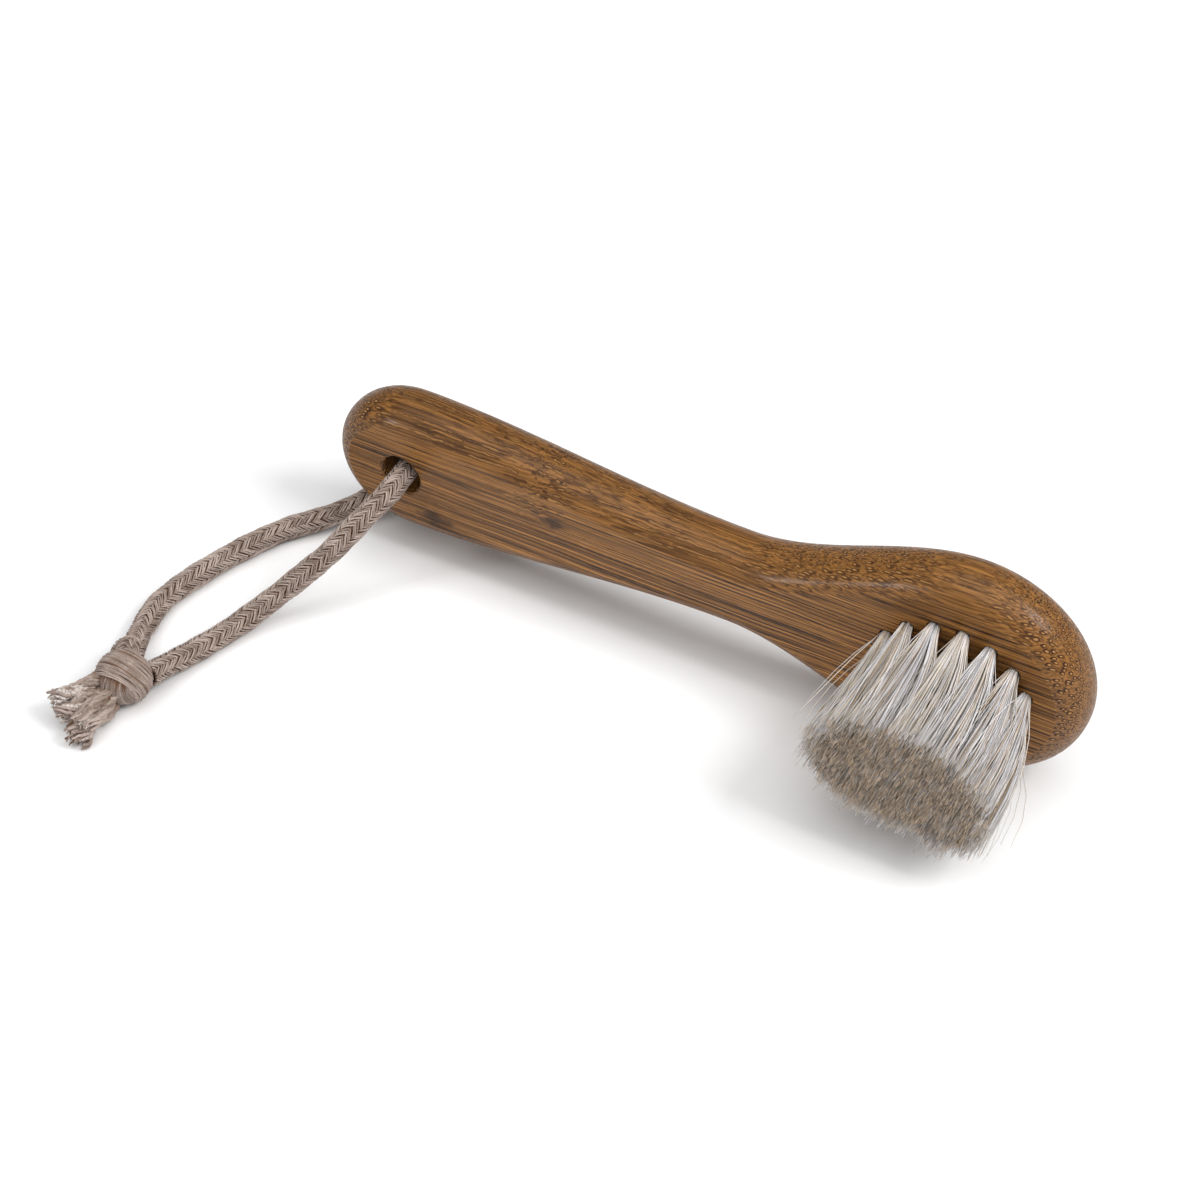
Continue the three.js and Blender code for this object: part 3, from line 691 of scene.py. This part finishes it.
def braid(rng, route):
    """The yarns of a stretch of cord round its core."""
    line, run = cord_line(route, YARN_STEP)
    across, over = (way[0] for way in carried(line[None]))
    radius = CORD_DIAMETER / 2 - YARN_RADIUS - YARN_RISE
    pace = math.tan(math.radians(BRAID_ANGLE)) / radius
    swell = 1 + 0.03 * np.sin(run * 0.55 + rng.uniform(0, 6))
    swell = swell + 0.025 * np.sin(run * 1.3 + rng.uniform(0, 6))
    bundles = []
    for hand in (1, -1):
        carrier, on_it = np.divmod(np.arange(YARNS_EACH_WAY), YARNS_ON_CARRIER)
        carrier = carrier * YARNS_ON_CARRIER + (on_it - 1) * CARRIER_SPREAD
        angle = carrier[:, None] / YARNS_EACH_WAY * 2 * math.pi + hand * pace * run
        angle = angle + 0.05 * np.sin(run * 0.8 + carrier[:, None] * 2.1)
        angle = angle + rng.normal(0, 0.02, angle.shape)
        rise = hand * np.tanh(2.4 * np.cos(BRAID_COLUMNS * angle))
        out = (radius * swell + YARN_RISE * rise)[:, :, None]
        lines = line + out * (np.cos(angle)[:, :, None] * across + np.sin(angle)[:, :, None] * over)
        radii = YARN_RADIUS * rng.uniform(0.85, 1.12, (YARNS_EACH_WAY, 1)) * np.ones_like(angle)
        bundles.append((lines, radii, YARN_SIDES, rng.uniform(0, 1, YARNS_EACH_WAY), 0.5 - 0.5 * rise))
    core = line[None, ::CORE_EVERY]
    core_radii = np.full(core.shape[:2], CORE_RADIUS)
    bundles.append((core, core_radii, CORE_SIDES, np.zeros(1), np.ones(core.shape[:2])))
    return bundles, line, run[-1]


cotton, cotton_surface, shade = new_material("natural_cotton", Specular_IOR_Level=0.2, Sheen_Weight=0.15)
tint = shade.node("Attribute", {"attribute_name": "tint"}, {}, "Fac")
sunk = shade.node("Attribute", {"attribute_name": "shade"}, {}, "Fac")
place = shade.node("TexCoord", {}, {}, "Object")
fluff = shade.node("TexNoise", {}, {"Vector": place, "Scale": 2600.0, "Detail": 3.0})
slub = shade.node("TexNoise", {}, {"Vector": place, "Scale": 380.0, "Detail": 2.0})
yarn_tone = tint * 0.55 + slub.step(0.3, 0.7) * 0.25 + fluff.step(0.3, 0.7) * 0.2
yarn_colour = yarn_tone.between(YARN_DARK, YARN_PALE)
yarn_colour = (sunk.step(0.28, 0.88) * 0.88).between(yarn_colour, YARN_SHADOW)
loose = (0 - sunk).step(0.0, 1.0) * fluff.step(0.35, 0.6) * 0.75
yarn_colour = loose.between(yarn_colour, YARN_FLUFF)
feed(cotton_surface, "Base Color", yarn_colour)
feed(cotton_surface, "Roughness", 0.8 + fluff * 0.2)
fuzz = shade.node("Bump", {}, {"Height": fluff, "Strength": 0.5, "Distance": 0.00008}, "Normal")
feed(cotton_surface, "Normal", fuzz)

hole_middle = brush_place @ Vector((HANG_HOLE_AT * MM, 0, -BODY_THICKNESS / 2 * MM))
cord_place = Matrix.Translation((hole_middle.x, hole_middle.y, 0))
cord_rng = np.random.default_rng(16)
cords = {}
for label, route in (("front", FRONT_ROUTE), ("back", BACK_ROUTE)):
    yarns, line, length = braid(cord_rng, route)
    strand = thread_mesh(f"{label}_cord", yarns, cotton, cord_place)
    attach(strand, "root")
    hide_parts(f"cord_{label}_strand")
    cords[label] = (strand, line * MM + np.array(cord_place.translation), length * MM)

# Cord knot
# Both ends of the cord are tied together and pulled tight into a ball: turns of cord whose yarns are
# drawn out side by side, over a last bight that shows at the end where the tails come out.
KNOT_PLACE = np.array((-20.9, -59.2, 4.85))
KNOT_RADIUS = 4.7
KNOT_CORE_RADIUS = 4.0
KNOT_CORE_RINGS = 15
KNOT_CORE_SIDES = 24
KNOT_AXIS_TURN = -92.0  # degrees from +X to the axis that the wrap goes round, towards the tails
KNOT_AXIS_DIP = 20.0
WRAP_EDGE = (58.0, 6.0)  # degrees from that axis to the wrap's edge, and how far the edge swings
WRAP_END = 152.0
BIGHT_ENDS = (78.0, -112.0)  # degrees up and down from that axis
BIGHT_HALF_WIDTH = 66.0
KNOT_UNEVEN = 0.05
WRAP_YARNS = 30
WRAP_STEPS = 90
BIGHT_YARNS = 28
BIGHT_STEPS = 23
KNOT_LOOP = [
    (-21.8, -57.4, 5.0), (-23.8, -55.9, 5.1), (-25.1, -53.6, 4.4), (-24.9, -51.2, 3.3), (-24.2, -50.2, 2.8),
]
KNOT_YARN_RADIUS = 0.17
knot_turn = Matrix.Rotation(math.radians(KNOT_AXIS_TURN), 3, "Z")
knot_turn = knot_turn @ Matrix.Rotation(math.radians(KNOT_AXIS_DIP), 3, "Y")
knot_axis, knot_side, knot_up = np.array(knot_turn).T


def on_knot(polar, spin, radius):
    """Places at an angle from the knot's axis and an angle round it, from its right side upwards."""
    flat = np.cos(spin)[..., None] * knot_side + np.sin(spin)[..., None] * knot_up
    out = np.sin(polar)[..., None] * flat + np.cos(polar)[..., None] * knot_axis
    return KNOT_PLACE + radius[..., None] * out


def wrap_edge(spin):
    """Angle from the knot's axis to the wrap's edge, which leaves the bight free."""
    return np.radians(WRAP_EDGE[0] + WRAP_EDGE[1] * np.sin(spin + 0.8))


def knot_wrap(rng):
    """Yarns side by side in one broad turn of cord round the knot."""
    spin = np.linspace(-0.5, 1.5, WRAP_STEPS + 1) * math.pi
    spin = np.broadcast_to(spin, (WRAP_YARNS, len(spin)))
    rank = np.linspace(0, 1, WRAP_YARNS)[:, None]
    edge = wrap_edge(spin)
    polar = edge + (math.radians(WRAP_END) - edge) * rank
    polar = polar + 0.02 * np.sin(spin * 3 + rng.uniform(0, 6.3, (WRAP_YARNS, 1)))
    radius = KNOT_RADIUS - 0.45 * np.clip(1 - rank * 12, 0, 1) ** 2 - 0.1 * (rank - 0.4) ** 2
    radius = np.broadcast_to(radius + rng.normal(0, KNOT_UNEVEN, (WRAP_YARNS, 1)), spin.shape)
    radii = KNOT_YARN_RADIUS * rng.uniform(0.85, 1.15, (WRAP_YARNS, 1)) * np.ones_like(spin)
    deep = np.broadcast_to(0.2 + 0.6 * rng.uniform(0, 1, (WRAP_YARNS, 1)) ** 3, spin.shape)
    return on_knot(polar, spin, radius), radii, YARN_SIDES, rng.uniform(0.1, 1.0, WRAP_YARNS), deep


def knot_bight(rng):
    """Yarns side by side over the last bight, across the wrap and in under its edge."""
    bend = np.radians(np.linspace(*BIGHT_ENDS, BIGHT_STEPS + 1))
    bend = np.broadcast_to(bend, (BIGHT_YARNS, len(bend)))
    aside = np.radians(np.linspace(-BIGHT_HALF_WIDTH, BIGHT_HALF_WIDTH, BIGHT_YARNS))[:, None]
    aside = aside * np.interp(bend[0], [-1.9, 0, 1.3], [0.8, 1, 0.75])
    radius = KNOT_RADIUS - 0.3 - 0.5 * np.clip((bend - 0.75) / 0.6, 0, 1)
    radius = radius + rng.normal(0, KNOT_UNEVEN, (BIGHT_YARNS, 1))
    over = np.cos(bend)[..., None] * knot_axis + np.sin(bend)[..., None] * knot_up
    lines = np.cos(aside)[..., None] * over + np.sin(aside)[..., None] * knot_side
    lines = KNOT_PLACE + radius[..., None] * lines
    radii = KNOT_YARN_RADIUS * rng.uniform(0.85, 1.2, (BIGHT_YARNS, 1)) * np.ones_like(bend)
    deep = 0.5 * np.clip((bend - 0.55) / 0.5, 0, 1) + 0.6 * rng.uniform(0, 1, (BIGHT_YARNS, 1)) ** 2
    return lines, radii, YARN_SIDES, rng.uniform(0.1, 1.0, BIGHT_YARNS), deep


knot_rng = np.random.default_rng(7)
knot_line = KNOT_PLACE + np.linspace(-1, 1, KNOT_CORE_RINGS)[:, None] * KNOT_CORE_RADIUS * knot_axis
knot_radii = KNOT_CORE_RADIUS * np.sqrt(1 - np.linspace(-0.97, 0.97, KNOT_CORE_RINGS) ** 2)
knot_bundles = [
    knot_wrap(knot_rng),
    knot_bight(knot_rng),
    *braid(knot_rng, KNOT_LOOP)[0],
    (knot_line[None], knot_radii[None], KNOT_CORE_SIDES, np.zeros(1), np.full((1, KNOT_CORE_RINGS), 0.4)),
]
knot = thread_mesh("knot", knot_bundles, cotton, cord_place)
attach(knot, "root")
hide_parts("cord_knot")

# Frayed tails
# The two cut ends of the cord, short, with the braid come loose into lumpy strands of cotton. They come
# out of the knot beside its last bight and part, one to each side.
TAILS = {  # root and tip
    "left": ((-22.8, -62.0, 4.4), (-27.8, -69.8, 3.7)),
    "right": ((-21.4, -62.8, 3.6), (-21.6, -73.6, 2.6)),
}
TAIL_STRANDS = 13
TAIL_POINTS = 30
STRAND_RADIUS = 0.52
STRAND_WAVE = 0.28
YARNS_IN_STRAND = 6
LOOSE_YARN_SIDES = 6


def frayed(rng, root, tip):
    """Loose, lumpy strands of a few yarns from the knot to a ragged end."""
    root, tip = np.array(root), np.array(tip)
    across, over = (way[0, 0] for way in carried(np.stack([root, (root + tip) / 2, tip])[None]))
    steps = np.linspace(-0.2, 1, TAIL_POINTS)
    bundles = []
    for spot in disc(rng, TAIL_STRANDS, 0.6):
        reach = rng.uniform(0.72, 1.0)
        share = steps * reach
        wide = np.interp(share, [-0.2, 0, 0.35, 0.8, 1], [1.9, 2.0, 2.2, 2.4, 2.0])
        wave = STRAND_WAVE * np.sin(share[:, None] * rng.uniform(5, 10, 2) + rng.uniform(0, 6.3, 2))
        flat = spot * (wide[:, None] * (1.15, 0.8)) + wave
        strand = root + (tip - root) * share[:, None] + flat[:, :1] * across + flat[:, 1:] * over
        fat = STRAND_RADIUS * (1 + 0.4 * np.sin(share * rng.uniform(7, 13) + rng.uniform(0, 6.3)))
        fat = fat * np.interp(steps, [0.7, 1], [1, 1.6])
        turn = np.arange(YARNS_IN_STRAND)[:, None] / YARNS_IN_STRAND * 2 * math.pi
        turn = turn + share * rng.uniform(4, 9) + rng.uniform(0, 6.3)
        out = np.cos(turn)[:, :, None] * across + np.sin(turn)[:, :, None] * over
        lines = strand + fat[:, None] * out
        lines = lines + rng.normal(0, 0.09, lines.shape)
        uneven = rng.uniform(0.75, 1.3, (YARNS_IN_STRAND, 1))
        radii = np.interp(steps, [0, 0.75, 1], [0.34, 0.4, 0.14]) * uneven
        lines[:, :, 2] = np.maximum(lines[:, :, 2], radii)
        depth_in = 1 - np.linalg.norm(spot) * np.interp(share, [0, 1], [0.6, 1.0])
        fluffy = rng.uniform(0, 1.6, (YARNS_IN_STRAND, 1)) * np.interp(share, [0, 0.5], [0.3, 1])
        deep = 0.9 * np.clip(depth_in, 0, 1) + 0.45 - fluffy
        tint = rng.uniform(0.1, 1.0, YARNS_IN_STRAND)
        bundles.append((lines, radii, LOOSE_YARN_SIDES, tint, deep))
    return bundles


tail_rng = np.random.default_rng(3)
tails = []
for label, (root, tip) in TAILS.items():
    tail = thread_mesh(f"{label}_tail", frayed(tail_rng, root, tip), cotton, cord_place)
    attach(tail, "root")
    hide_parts(f"cord_tail_{label}")
    tails.append(tail)

for label, mouth, ends in (("front", body_low[1], []), ("back", body_high[1], tails)):
    strand, line, length = cords[label]
